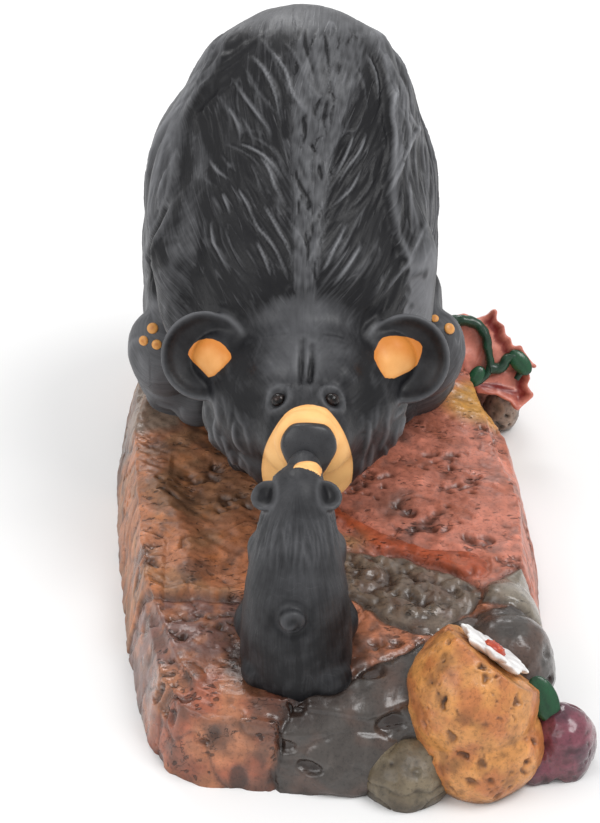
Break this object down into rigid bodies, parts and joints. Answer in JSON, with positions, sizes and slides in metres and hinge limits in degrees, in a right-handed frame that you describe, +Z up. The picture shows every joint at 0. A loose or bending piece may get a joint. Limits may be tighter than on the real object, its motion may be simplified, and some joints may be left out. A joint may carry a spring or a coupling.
{
  "type": "resin bear figurine",
  "caption": "Painted resin figurine of a mother bear bending down nose to nose with her upright cub on a slab of rock with stones, a red leaf and a flower.",
  "frame": {"origin": "middle of the flat underside, at the middle of the bounding box", "axes": "+Z up; the mother bear looks along -Y toward the cub; +X is to the right of someone who faces the figurine"},
  "size_m": [0.1216, 0.1994, 0.1331],
  "materials": {
    "painted_fur": "matte charcoal paint with pale dry-brushed ridges, golden muzzle and ears",
    "painted_rock": "satin orange, red and brown paint over broken rock",
    "painted_stone": "glossy ochre, olive, grey and plum paint",
    "painted_leaf": "glossy red and green paint",
    "painted_flower": "white petals with an orange-red centre",
    "painted_eye": "black varnish"
  },
  "bodies": {
    "root": {"bear_figurine": "painted_fur"}
  },
  "joints": []
}
